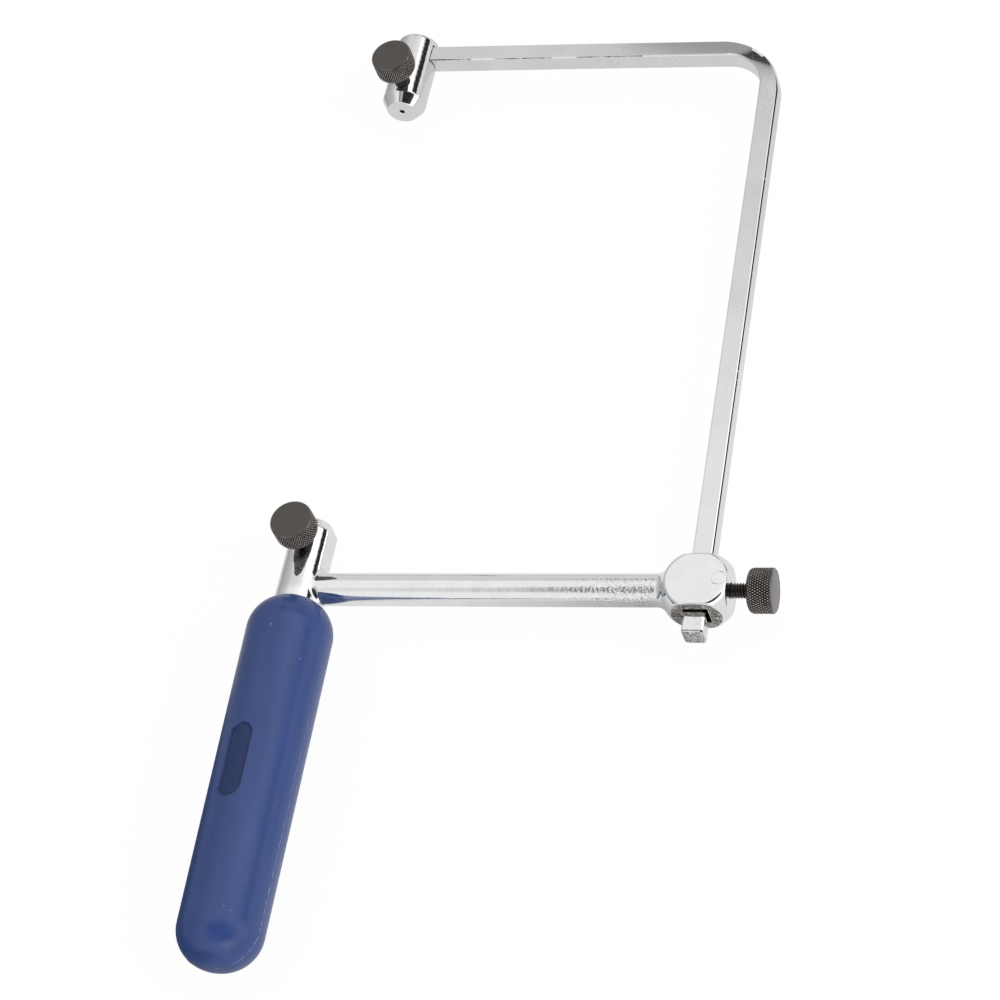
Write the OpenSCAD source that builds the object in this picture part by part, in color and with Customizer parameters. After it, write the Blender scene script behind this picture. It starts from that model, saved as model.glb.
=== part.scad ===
// Adjustable fret saw frame of the piercing saw kind, lying on its side.
// X runs along the arm from the blade line to the back bar, Y runs along the blade away from the
// handle, and Z points out of the side that carries the two blade screws.
// The origin is the middle of the lower blade hole's mouth, on the end of the post.

/* [Blade line] */
// Distance from the blade line to the middle of the back bar
bar_x = 106.3; // [80:0.1:140]
// Distance between the ends of the lower post and the upper head, as the frame is set
clamp_gap = 139.5; // [110:0.1:150]
// Diameter of the holes that take the blade's ends
blade_hole_d = 1.4; // [1:0.1:1.8]
// Depth of the blade holes
blade_hole_depth = 11; // [10.5:0.1:12]

/* [Lower frame] */
// Diameter of the post
post_d = 12.2; // [11:0.1:13]
// Height of the post's end above the middle of the arm
post_rise = 19.3; // [18:0.1:24]
// Diameter of the arm
arm_d = 8.5; // [7:0.1:9.5]
// Length of the cone on the post's end and on the head's end
cone_l = 3; // [2:0.1:3.4]
// Amount by which that cone narrows the radius
cone_in = 1.9; // [1:0.1:2.5]
// Height of the lower blade screw below the post's end
lower_screw_drop = 7; // [6.5:0.1:8]
// Diameter of the tang inside the handle
tang_d = 7; // [5:0.1:9]
// Length of the tang inside the handle, below the post's shoulder
tang_l = 62; // [40:1:70]

/* [Boss] */
// Radius of the ball that the boss is cut from
ball_r = 10; // [9.2:0.1:11]
// Thickness of the boss between its front and back flats
boss_t = 12.1; // [11:0.1:13]
// Height of the boss between its upper and lower flats
boss_h = 14.1; // [12.5:0.1:15]
// Distance from the middle of the boss to the flat under the lock screw
lock_flat = 8.2; // [7.8:0.1:8.8]
// Radius of the fillet between the arm and the boss
arm_fillet = 2.5; // [1:0.1:4]

/* [Back bar] */
// Side of the square bar
bar_w = 5.4; // [4.6:0.1:5.8]
// Radius of the bend's inner edge
bend_in_r = 11; // [8:0.5:14]
// Radius of the bend's outer edge, where the bar is drawn thinner
bend_out_r = 20; // [16:0.5:22]
// Slope of the top leg, rising from the bend to the head, and lean of the head on it, in degrees
top_slope = 2.4; // [0:0.1:4]
// Length of bar that stands out below the boss
bar_tail = 6.7; // [5:0.1:20]
// Play around the bar in the boss, on each side
bar_play = 0.25; // [0.1:0.05:0.4]

/* [Upper head] */
// Diameter of the head
head_d = 12.4; // [11:0.1:13]
// Length of the head, with its dome
head_l = 26.3; // [25.6:0.1:30]
// Height of the dome on the head's far end
dome_h = 2.4; // [1.5:0.1:3]
// Distance from the head's near end to the upper blade screw
upper_screw_rise = 6.2; // [5.6:0.1:7]
// Distance from the head's near end to the middle of the bar
socket_rise = 19.5; // [16:0.1:20]
// Depth of the bar's socket past the blade line
socket_past = 2; // [0:0.1:3]

/* [Thumbscrews] */
// Diameter of the knurled heads
knob_d = 11.4; // [9:0.1:12]
// Length of the knurled heads
knob_l = 6.6; // [5:0.1:8]
// Radius of the round shoulder on a knurled head
knob_shoulder = 1.5; // [0.5:0.1:2]
// Bevel round the outer face of a knurled head
knob_bevel = 0.5; // [0.2:0.1:1]
// Outside diameter of the thread
thread_d = 4; // [3.5:0.1:4.4]
// Gap between the post and the lower screw's head
lower_gap = 1.8; // [1:0.1:2.6]
// Gap between the upper head and the upper screw's head
upper_gap = 4.75; // [3:0.05:5]
// Gap between the boss and the lock screw's head
lock_gap = 4.2; // [3.5:0.1:6]
// Length of thread on a blade screw
blade_screw_l = 6.2; // [6:0.1:6.8]
// Diameter of the pressure pads under the screws
pad_d = 3.6; // [3:0.1:3.8]
// Thickness of the pressure pads
pad_t = 0.8; // [0.5:0.1:0.9]

/* [Handle] */
// Diameter of the handle at its upper end
handle_top_d = 22.5; // [21.5:0.1:28]
// Diameter of the handle at its lower end
handle_low_d = 21.8; // [21.5:0.1:28]
// Length of the handle with its round ends
handle_l = 102.4; // [95:0.1:140]
// Radius of the handle's round ends
handle_round = 10; // [8:0.1:10.5]
// Distance from the middle of the arm to the top of the handle
handle_drop = 3.6; // [3:0.1:12]
// Length of the pocket in the handle's side
pocket_l = 20.5; // [10:0.5:40]
// Width of the pocket
pocket_w = 6.6; // [3:0.1:8]
// Depth of the pocket
pocket_depth = 0.6; // [0.2:0.1:1]
// Distance from the top of the handle to the middle of the pocket
pocket_drop = 51.2; // [40:0.1:60]
// Turn of the pocket about the handle, from straight up, in degrees
pocket_turn = -11.5; // [-45:0.5:45]

/* [Hidden] */
$fn = 96;

// Length by which a cut runs past the face that it opens
overrun = 1;
// Radial room around a thread in its hole
thread_play = 0.05;
// Room between a screw's tip and its pad, and between the lock pad and the bar
pad_play = 0.05;
// Room around pieces that are fixed in one another
seat_play = 0.03;
// Depth by which the post's shoulder is set into the handle
post_seat = 4;
// Bevel on a screw's tip
tip_bevel = 0.4;
// Length by which the fillet's outline reaches into the arm and the ball
fillet_root = 1;

post_r = post_d / 2;
arm_r = arm_d / 2;
head_r = head_d / 2;
knob_r = knob_d / 2;
thread_r = thread_d / 2;
hole_r = thread_r + thread_play;
pad_r = pad_d / 2;
tang_r = tang_d / 2;
blade_hole_r = blade_hole_d / 2;

arm_y = -post_rise;
handle_top_y = arm_y - handle_drop;
handle_low_y = handle_top_y - handle_l;
shoulder_y = handle_top_y - post_seat;
tang_y = shoulder_y - tang_l;

bar_half = bar_w / 2;
bar_end_y = arm_y - boss_h / 2 - bar_tail;
lower_screw_y = -lower_screw_drop;
upper_screw_y = clamp_gap + upper_screw_rise;
bend_turn = 90 - top_slope;
socket_middle = [0, upper_screw_y] + (socket_rise - upper_screw_rise) * spoke(bend_turn);
bar_top_y = socket_middle[1] - (bar_x - socket_middle[0]) * tan(top_slope);
bend_in_centre = bend_centre(bend_in_r + bar_half);
bend_out_centre = bend_centre(bend_out_r - bar_half);

lower_knob_z = post_r + lower_gap;
upper_knob_z = head_r + upper_gap;
lock_knob_x = bar_x + lock_flat + lock_gap;
lock_pad_x = bar_x + bar_half + pad_play;
lock_tip_x = lock_pad_x + pad_t + pad_play;
lock_screw_l = lock_knob_x - lock_tip_x;
dome_r = (head_r * head_r + dome_h * dome_h) / (2 * dome_h);

fillet_y = arm_r + arm_fillet;
fillet_reach = sqrt(pow(ball_r + arm_fillet, 2) - pow(fillet_y, 2));

// A round bar along +Y from the point given
module rod_y(r, l) {
    rotate([-90, 0, 0])
        cylinder(r = r, h = l);
}

// A round bar along +X from the point given
module rod_x(r, l) {
    rotate([0, 90, 0])
        cylinder(r = r, h = l);
}

// A shape turned about the Y axis, its outline drawn as radius and height
module turned_y() {
    rotate([-90, 0, 0])
        mirror([0, 1, 0])
            rotate_extrude()
                children();
}

// The two holes of a blade clamp: one for the blade along Y, one for the screw along Z.
// way is 1 where the blade leaves towards +Y and -1 where it leaves towards -Y
module clamp_holes(end_y, screw_y, side_r, way) {
    translate([0, end_y - (way > 0 ? blade_hole_depth : overrun), 0])
        rod_y(blade_hole_r, blade_hole_depth + overrun);
    translate([0, screw_y, -blade_hole_r])
        cylinder(r = hole_r, h = side_r + blade_hole_r + overrun);
}

// The post and its tang as one turned piece
module post() {
    turned_y()
        polygon([
            [0, tang_y], [tang_r, tang_y], [tang_r, shoulder_y], [post_r, shoulder_y],
            [post_r, -cone_l], [post_r - cone_in, 0], [0, 0]
        ]);
}

// The arm, with the hollow fillet that leads into the boss
module arm() {
    translate([0, arm_y, 0]) {
        rod_x(arm_r, bar_x - lock_flat);
        translate([bar_x, 0, 0])
            rotate([0, -90, 0])
                rotate_extrude()
                    difference() {
                        polygon([
                            [arm_r - fillet_root, fillet_reach],
                            [fillet_y, fillet_reach],
                            [fillet_y * ball_r / (ball_r + arm_fillet),
                             fillet_reach * ball_r / (ball_r + arm_fillet)],
                            [arm_r - fillet_root, lock_flat - fillet_root]
                        ]);
                        translate([fillet_y, fillet_reach])
                            circle(r = arm_fillet);
                    }
    }
}

// The ball with its four flats and the flat under the lock screw
module boss() {
    translate([bar_x, arm_y, 0])
        intersection() {
            sphere(r = ball_r);
            translate([-ball_r, -boss_h / 2, -boss_t / 2])
                cube([ball_r + lock_flat, boss_h, boss_t]);
        }
}

module lower_frame() {
    square_w = bar_w + 2 * bar_play;
    color("gainsboro")
        difference() {
            union() {
                post();
                arm();
                boss();
            }
            clamp_holes(0, lower_screw_y, post_r, 1);
            translate([bar_x - square_w / 2, arm_y - boss_h / 2 - overrun, -square_w / 2])
                cube([square_w, boss_h + 2 * overrun, square_w]);
            translate([bar_x, arm_y, 0])
                rod_x(hole_r, lock_flat + overrun);
        }
}

// The corner of an outline that is cut away to leave a round edge of radius r around the origin
module round_off(r, way) {
    difference() {
        translate([0, way > 0 ? 0 : -r - overrun])
            square([r + overrun, r + overrun]);
        circle(r = r);
    }
}

// The handle's outline grown by the amount given
module handle_form(grow) {
    top_r = handle_top_d / 2 + grow;
    low_r = handle_low_d / 2 + grow;
    round_r = handle_round + grow;
    top_y = handle_top_y + grow;
    low_y = handle_low_y - grow;
    turned_y()
        difference() {
            polygon([
                [0, low_y], [low_r, low_y], [low_r, low_y + round_r],
                [top_r, top_y - round_r], [top_r, top_y], [0, top_y]
            ]);
            translate([top_r - round_r, top_y - round_r])
                round_off(round_r, 1);
            translate([low_r - round_r, low_y + round_r])
                round_off(round_r, -1);
        }
}

// The rounded slot that the pocket is cut with, through the front half of the handle
module pocket_slot() {
    run = pocket_l - pocket_w;
    translate([0, handle_top_y - pocket_drop, 0])
        rotate([0, pocket_turn, 0])
            linear_extrude(handle_top_d) {
                square([pocket_w, run], center = true);
                for (side = [-1, 1])
                    translate([0, side * run / 2])
                        circle(d = pocket_w);
            }
}

module handle() {
    color("#3a4f8c")
        difference() {
            handle_form(0);
            difference() {
                pocket_slot();
                handle_form(-pocket_depth);
            }
            translate([0, shoulder_y, 0])
                rod_y(post_r + seat_play, post_seat + overrun);
            translate([0, tang_y - seat_play, 0])
                rod_y(tang_r + seat_play, tang_l + overrun);
        }
}

// The middle of a round edge in the bar's plane that lies reach from the middle lines of both legs
function bend_centre(reach) =
    [bar_x - reach, bar_top_y - reach * (1 - sin(top_slope)) / cos(top_slope)];

// The direction from the middle of the bend at angle a, counted from +X
function spoke(a) = [cos(a), sin(a)];

// A point on the tip of the top leg, aside from its middle line
function tip_point(aside) =
    socket_middle + (seat_play - socket_past) * spoke(-top_slope) + aside * spoke(bend_turn);

// The part of the outline that the bend's outer round edge leaves out
module bend_corner() {
    far_r = bend_out_r + overrun;
    translate(bend_out_centre)
        difference() {
            polygon([
                [0, 0], far_r * spoke(0),
                far_r / cos(bend_turn / 2) * spoke(bend_turn / 2), far_r * spoke(bend_turn)
            ]);
            circle(r = bend_out_r);
        }
}

module back_bar() {
    color("silver")
        translate([0, 0, -bar_half])
            linear_extrude(bar_w)
                difference() {
                    polygon([
                        [bar_x - bar_half, bar_end_y], [bar_x + bar_half, bar_end_y],
                        bend_out_centre + bend_out_r / cos(bend_turn / 2) * spoke(bend_turn / 2),
                        tip_point(bar_half), tip_point(-bar_half),
                        bend_in_centre + bend_in_r * spoke(bend_turn),
                        bend_in_centre, bend_in_centre + bend_in_r * spoke(0)
                    ]);
                    translate(bend_in_centre)
                        circle(r = bend_in_r);
                    bend_corner();
                }
}

// The head stands square on the top leg, so it leans with it about the upper screw
module upper_clamp_head() {
    socket_w = bar_w + 2 * seat_play;
    color("gainsboro")
        translate([0, upper_screw_y, 0])
            rotate([0, 0, -top_slope])
                translate([0, -upper_screw_rise, 0])
                    difference() {
                        turned_y()
                            intersection() {
                                polygon([
                                    [0, 0], [head_r - cone_in, 0], [head_r, cone_l],
                                    [head_r, head_l], [0, head_l]
                                ]);
                                union() {
                                    square([head_r, head_l - dome_h]);
                                    translate([0, head_l - dome_r])
                                        circle(r = dome_r);
                                }
                            }
                        clamp_holes(0, upper_screw_rise, head_r, -1);
                        translate([-socket_past, socket_rise - socket_w / 2, -socket_w / 2])
                            cube([socket_past + head_d, socket_w, socket_w]);
                    }
}

// A thumbscrew along Z: its head stands on the origin and its thread hangs below it
module thumbscrew(thread_l) {
    color("#4f4a46")
        rotate_extrude()
            difference() {
                polygon([
                    [0, knob_l], [knob_r - knob_bevel, knob_l], [knob_r, knob_l - knob_bevel],
                    [knob_r, 0], [thread_r, 0], [thread_r, tip_bevel - thread_l],
                    [thread_r - tip_bevel, -thread_l], [0, -thread_l]
                ]);
                translate([knob_r - knob_shoulder, knob_shoulder])
                    round_off(knob_shoulder, -1);
            }
}

// A pressure pad under the tip of a blade screw, which ends at the height given
module blade_pad(screw_y, tip_z) {
    color("dimgray")
        translate([0, screw_y, tip_z - pad_play - pad_t])
            cylinder(r = pad_r, h = pad_t);
}

module lower_blade_screw() {
    translate([0, lower_screw_y, lower_knob_z])
        thumbscrew(blade_screw_l);
}

module upper_blade_screw() {
    translate([0, upper_screw_y, upper_knob_z])
        thumbscrew(blade_screw_l);
}

module frame_lock_screw() {
    translate([lock_knob_x, arm_y, 0])
        rotate([0, 90, 0])
            thumbscrew(lock_screw_l);
}

module lower_blade_pad() {
    blade_pad(lower_screw_y, lower_knob_z - blade_screw_l);
}

module upper_blade_pad() {
    blade_pad(upper_screw_y, upper_knob_z - blade_screw_l);
}

module frame_lock_pad() {
    color("dimgray")
        translate([lock_pad_x, arm_y, 0])
            rod_x(pad_r, pad_t);
}

lower_frame();
handle();
back_bar();
upper_clamp_head();
lower_blade_screw();
upper_blade_screw();
frame_lock_screw();
lower_blade_pad();
upper_blade_pad();
frame_lock_pad();
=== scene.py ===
import math

import bpy
import numpy as np
from mathutils import Matrix, Vector


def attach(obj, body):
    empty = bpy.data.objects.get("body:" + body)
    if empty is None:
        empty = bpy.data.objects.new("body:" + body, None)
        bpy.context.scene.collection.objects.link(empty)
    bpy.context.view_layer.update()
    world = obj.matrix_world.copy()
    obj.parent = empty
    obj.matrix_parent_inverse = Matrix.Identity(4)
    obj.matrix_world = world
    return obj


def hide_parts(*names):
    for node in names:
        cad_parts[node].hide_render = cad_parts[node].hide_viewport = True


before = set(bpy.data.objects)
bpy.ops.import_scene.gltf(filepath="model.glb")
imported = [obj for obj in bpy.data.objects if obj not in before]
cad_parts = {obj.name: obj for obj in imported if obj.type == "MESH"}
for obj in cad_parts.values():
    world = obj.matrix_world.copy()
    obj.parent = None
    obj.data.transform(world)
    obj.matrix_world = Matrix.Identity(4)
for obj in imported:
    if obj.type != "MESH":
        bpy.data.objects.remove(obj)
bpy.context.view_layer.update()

MM = 0.001

# Sizes in millimetres, the same values as in part.scad
BAR_X = 106.3
GAP = 139.5
POST_R = 6.1
ARM_Y = -19.3
ARM_R = 4.25
CONE_L = 3.0
CONE_IN = 1.9
HOLE_R = 2.05
BLADE_R = 0.7
LOWER_SCREW_Y = -7.0
SCREW_RISE = 6.2
UPPER_SCREW_Y = GAP + SCREW_RISE
BALL_R = 10.0
BOSS_T = 12.1
BOSS_H = 14.1
LOCK_FLAT = 8.2
BAR_W = 5.4
BEND_IN_R = 11.0
BEND_OUT_R = 19.0
SLOPE = math.radians(2.4)
BAR_END_Y = ARM_Y - BOSS_H / 2 - 6.7
SOCKET_RISE = 19.5
HEAD_R = 6.2
HEAD_L = 26.3
DOME_H = 2.4
KNOB_R = 5.7
KNOB_L = 6.6
SHOULDER = 1.5
BEVEL = 0.32
THREAD_R = 2.0
PITCH = 0.7
LOWER_KNOB_Z = POST_R + 1.8
UPPER_KNOB_Z = HEAD_R + 4.75
LOCK_KNOB_X = BAR_X + LOCK_FLAT + 4.2
BLADE_SCREW_L = 6.2
LOCK_SCREW_L = LOCK_KNOB_X - (BAR_X + BAR_W / 2 + 0.9)
HANDLE_TOP_R = 11.25
HANDLE_LOW_R = 10.9
HANDLE_TOP_Y = ARM_Y - 3.6
HANDLE_L = 102.4
HANDLE_ROUND = 10.0
POCKET_L = 20.5
POCKET_W = 6.6
POCKET_DEPTH = 0.6
POCKET_Y = HANDLE_TOP_Y - 51.2
POCKET_TURN = math.radians(-11.5)
MOULD_TURN = 0.045

# Small leans and sideways shifts of the photographed saw. HANDLE_LEAN is X over Y, from the height HANDLE_PIVOT_Y
POST_LEAN = math.radians(1.9)
POST_SHIFT = 0.45
HANDLE_LEAN = 0.0103
HANDLE_PIVOT_Y = -43.0
HEAD_SHIFT = -0.45


# Meshes

class Shell:
    """Collects points, faces and normals of one piece, in millimetres."""

    def __init__(self):
        self.points, self.normals, self.faces = [], [], []
        self.slots, self.flat = [], []
        self.count = 0

    def add(self, points, faces, normals=None, slot=0, flat=False):
        points = np.asarray(points, float)
        if normals is None:
            normals = np.zeros_like(points)
        self.points.append(points)
        self.normals.append(np.asarray(normals, float))
        slots = slot if isinstance(slot, (list, np.ndarray)) else [slot] * len(faces)
        for face, one in zip(faces, slots):
            self.faces.append(tuple(int(i) + self.count for i in face))
            self.slots.append(int(one))
            self.flat.append(flat)
        self.count += len(points)

    def build(self, name, body, slot_name, materials, stands_for=None):
        mesh = bpy.data.meshes.new(name)
        points = np.vstack(self.points) * MM
        mesh.from_pydata(points.tolist(), [], self.faces)
        for material in materials:
            mesh.materials.append(material)
        mesh.polygons.foreach_set("material_index", self.slots)
        mesh.polygons.foreach_set("use_smooth", [not f for f in self.flat])
        mesh.update()
        normals = np.vstack(self.normals)
        mesh.normals_split_custom_set_from_vertices([tuple(n) for n in normals])
        obj = bpy.data.objects.new(name, mesh)
        bpy.context.scene.collection.objects.link(obj)
        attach(obj, body)
        if stands_for:
            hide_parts(stands_for)
        return obj


def smin(a, b, k):
    """The smaller of two fields, blended over the width k."""
    h = np.maximum(k - np.abs(a - b), 0.0) / k
    return np.minimum(a, b) - h * h * k * 0.25


def smax(a, b, k):
    """The larger of two fields, blended over the width k."""
    return -smin(-a, -b, k)


def gradient(field, p):
    e = 1e-3
    x, y, z = p[:, 0], p[:, 1], p[:, 2]
    return np.stack([
        field(x + e, y, z) - field(x - e, y, z),
        field(x, y + e, z) - field(x, y - e, z),
        field(x, y, z + e) - field(x, y, z - e),
    ], axis=1) / (2 * e)


def surface_net(field, low, high, step):
    """A mesh of quads on field = 0 inside a box, with its points moved on to the surface."""
    low, high = np.asarray(low, float), np.asarray(high, float)
    n = np.ceil((high - low) / step).astype(int) + 1
    ax = [low[i] + step * np.arange(n[i]) for i in range(3)]
    gx, gy, gz = np.meshgrid(*ax, indexing="ij")
    f = field(gx, gy, gz)
    del gx, gy, gz
    inside = f < 0
    count = np.zeros(n - 1, np.int8)
    corners = [(a, b, c) for a in (0, 1) for b in (0, 1) for c in (0, 1)]

    def cut(arr, o):
        return arr[o[0]:n[0] - 1 + o[0], o[1]:n[1] - 1 + o[1], o[2]:n[2] - 1 + o[2]]

    for o in corners:
        count += cut(inside, o)
    mixed = (count > 0) & (count < 8)
    cells = np.argwhere(mixed)
    index = np.full(mixed.shape, -1, np.int64)
    index[mixed] = np.arange(len(cells))
    total = np.zeros((len(cells), 3))
    hits = np.zeros(len(cells))
    for a in corners:
        for axis in range(3):
            if a[axis] == 1:
                continue
            b = list(a)
            b[axis] = 1
            fa = cut(f, a)[mixed]
            fb = cut(f, tuple(b))[mixed]
            cross = (fa < 0) != (fb < 0)
            t = np.where(cross, fa / np.where(cross, fa - fb, 1.0), 0.0)
            pos = (cells + np.array(a)).astype(float)
            pos[:, axis] += t
            total[cross] += pos[cross]
            hits[cross] += 1
    p = low + step * total / hits[:, None]
    start = p.copy()
    for _ in range(6):
        g = gradient(field, p)
        v = field(p[:, 0], p[:, 1], p[:, 2])
        p = p - (v / np.maximum((g * g).sum(1), 1e-6))[:, None] * g
        p = start + np.clip(p - start, -step, step)
    normals = gradient(field, p)
    normals /= np.maximum(np.linalg.norm(normals, axis=1), 1e-9)[:, None]
    quads = []
    for axis in range(3):
        u, w = (axis + 1) % 3, (axis + 2) % 3
        lo = [slice(None)] * 3
        hi = [slice(None)] * 3
        lo[axis], hi[axis] = slice(0, n[axis] - 1), slice(1, n[axis])
        a, b = inside[tuple(lo)], inside[tuple(hi)]
        change = np.argwhere(a != b)
        ok = ((change[:, u] > 0) & (change[:, u] < n[u] - 1)
              & (change[:, w] > 0) & (change[:, w] < n[w] - 1))
        change = change[ok]
        outward = a[tuple(change.T)]
        ring = []
        for du, dw in ((-1, -1), (0, -1), (0, 0), (-1, 0)):
            c = change.copy()
            c[:, u] += du
            c[:, w] += dw
            ring.append(index[tuple(c.T)])
        q = np.stack(ring, axis=1)
        q[~outward] = q[~outward][:, ::-1]
        quads.append(q)
    quads = np.vstack(quads)
    quads = quads[(quads >= 0).all(1)]
    return p, quads, normals


def tube_rows(rows, cols):
    """Quads between closed rows of points with the same number in each row."""
    faces = []
    for i in range(rows - 1):
        for j in range(cols):
            k = (j + 1) % cols
            faces.append((i * cols + j, i * cols + k, (i + 1) * cols + k, (i + 1) * cols + j))
    return faces


# Materials

def new_material(name):
    m = bpy.data.materials.new(name)
    m.use_nodes = True
    t = m.node_tree
    return m, t, t.nodes["Principled BSDF"]


def node(tree, kind, **values):
    n = tree.nodes.new(kind)
    for key, value in values.items():
        setattr(n, key, value)
    return n


def coords(tree, scale=1.0):
    c = node(tree, "ShaderNodeTexCoord")
    m = node(tree, "ShaderNodeMapping")
    if isinstance(scale, (int, float)):
        scale = (scale, scale, scale)
    m.inputs["Scale"].default_value = scale
    tree.links.new(c.outputs["Object"], m.inputs["Vector"])
    return m.outputs["Vector"]


def noise(tree, vector, scale, detail=2.0, rough=0.5):
    n = node(tree, "ShaderNodeTexNoise")
    n.inputs["Scale"].default_value = scale
    n.inputs["Detail"].default_value = detail
    n.inputs["Roughness"].default_value = rough
    tree.links.new(vector, n.inputs["Vector"])
    return n.outputs["Fac"]


def ramp(tree, value, stops):
    r = node(tree, "ShaderNodeValToRGB")
    e = r.color_ramp.elements
    while len(e) < len(stops):
        e.new(0.5)
    for el, (pos, col) in zip(e, stops):
        el.position = pos
        if isinstance(col, (int, float)):
            col = (col, col, col)
        el.color = (*col, 1.0)
    tree.links.new(value, r.inputs["Fac"])
    return r.outputs["Color"]


def math_node(tree, op, a, b=None):
    n = node(tree, "ShaderNodeMath", operation=op)
    for i, v in enumerate((a, b)):
        if v is None:
            continue
        if isinstance(v, (int, float)):
            n.inputs[i].default_value = v
        else:
            tree.links.new(v, n.inputs[i])
    return n.outputs[0]


def mix_color(tree, factor, a, b, mode="MIX"):
    n = node(tree, "ShaderNodeMix", data_type="RGBA", blend_type=mode)
    for socket, v in ((n.inputs["Factor"], factor), (n.inputs[6], a), (n.inputs[7], b)):
        if isinstance(v, (int, float)):
            socket.default_value = v
        elif isinstance(v, tuple):
            socket.default_value = (*v, 1.0)
        else:
            tree.links.new(v, socket)
    return n.outputs[2]


def bump(tree, height, strength, distance, onto=None):
    b = node(tree, "ShaderNodeBump")
    b.inputs["Strength"].default_value = strength
    b.inputs["Distance"].default_value = distance
    tree.links.new(height, b.inputs["Height"])
    if onto is not None:
        tree.links.new(onto, b.inputs["Normal"])
    return b.outputs["Normal"]


def span(tree, value, a, b, low, high):
    """Goes from low at value a to high at value b, smoothly and no further."""
    n = node(tree, "ShaderNodeMapRange", interpolation_type="SMOOTHSTEP")
    for key, v in (("From Min", a), ("From Max", b), ("To Min", low), ("To Max", high)):
        n.inputs[key].default_value = v
    tree.links.new(value, n.inputs["Value"])
    return n.outputs[0]


# Where the arm is speckled, in metres: it sets in along the first span, ends at the second, and is weak at the back
SPECKLE_START_X = (0.066, 0.094)
SPECKLE_STOP_X = (0.0945, 0.0965)
SPECKLE_BACK_Y = (-0.0192, -0.0180)


def chrome_material():
    m, t, p = new_material("chrome_plate")
    v = coords(t)
    p.inputs["Metallic"].default_value = 1.0
    cloud = noise(t, v, 220.0, 3.0)
    tint = ramp(t, cloud, [(0.3, (0.85, 0.855, 0.86)), (0.7, (0.90, 0.905, 0.91))])
    pits = noise(t, v, 2600.0, 2.0, 0.6)
    rough = ramp(t, pits, [(0.35, 0.04), (0.62, 0.06), (0.72, 0.2)])
    t.links.new(rough, p.inputs["Roughness"])
    wave = noise(t, v, 170.0, 2.0, 0.4)
    first = bump(t, wave, 0.10, 0.0004)
    ripple = noise(t, v, 900.0, 2.0, 0.55)
    second = bump(t, ripple, 0.12, 0.00009, first)
    axes = node(t, "ShaderNodeSeparateXYZ")
    t.links.new(v, axes.inputs[0])
    near_boss = math_node(t, "MULTIPLY", span(t, axes.outputs[0], *SPECKLE_START_X, 0.0, 1.0),
                          span(t, axes.outputs[0], *SPECKLE_STOP_X, 1.0, 0.0))
    near_boss = math_node(t, "MULTIPLY", near_boss, span(t, axes.outputs[1], *SPECKLE_BACK_Y, 1.0, 0.15))
    rippled = math_node(t, "ADD", math_node(t, "MULTIPLY", near_boss, 0.2), 0.12)
    t.links.new(rippled, second.node.inputs["Strength"])
    third = bump(t, pits, 0.07, 0.00005, second)
    speckled = bump(t, noise(t, v, 1250.0, 1.0, 0.5), 0.0, 0.00013, third)
    t.links.new(near_boss, speckled.node.inputs["Strength"])
    # Dark pits among the speckles
    pepper = ramp(t, noise(t, v, 1900.0, 2.0, 0.6), [(0.52, (1.0, 1.0, 1.0)), (0.66, (0.5, 0.5, 0.5))])
    pitted = mix_color(t, 1.0, tint, pepper, "MULTIPLY")
    t.links.new(mix_color(t, math_node(t, "MULTIPLY", near_boss, 0.8), tint, pitted), p.inputs["Base Color"])
    t.links.new(speckled, p.inputs["Normal"])
    return m


def raw_casting_material():
    m, t, p = new_material("bare_casting")
    v = coords(t)
    p.inputs["Metallic"].default_value = 0.75
    grain = noise(t, v, 3200.0, 4.0, 0.7)
    broad = noise(t, v, 600.0, 2.0)
    both = math_node(t, "ADD", math_node(t, "MULTIPLY", grain, 0.7), math_node(t, "MULTIPLY", broad, 0.3))
    tint = ramp(t, both, [(0.40, (0.085, 0.078, 0.072)), (0.5, (0.30, 0.285, 0.27)), (0.60, (0.72, 0.69, 0.65))])
    # A dark parting line at half the boss's thickness
    axes = node(t, "ShaderNodeSeparateXYZ")
    t.links.new(v, axes.inputs[0])
    parting = span(t, math_node(t, "ABSOLUTE", axes.outputs[2]), 0.00010, 0.00026, 0.85, 0.0)
    t.links.new(mix_color(t, parting, tint, (0.05, 0.048, 0.045)), p.inputs["Base Color"])
    p.inputs["Roughness"].default_value = 0.55
    t.links.new(bump(t, grain, 0.6, 0.0002), p.inputs["Normal"])
    return m


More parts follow.
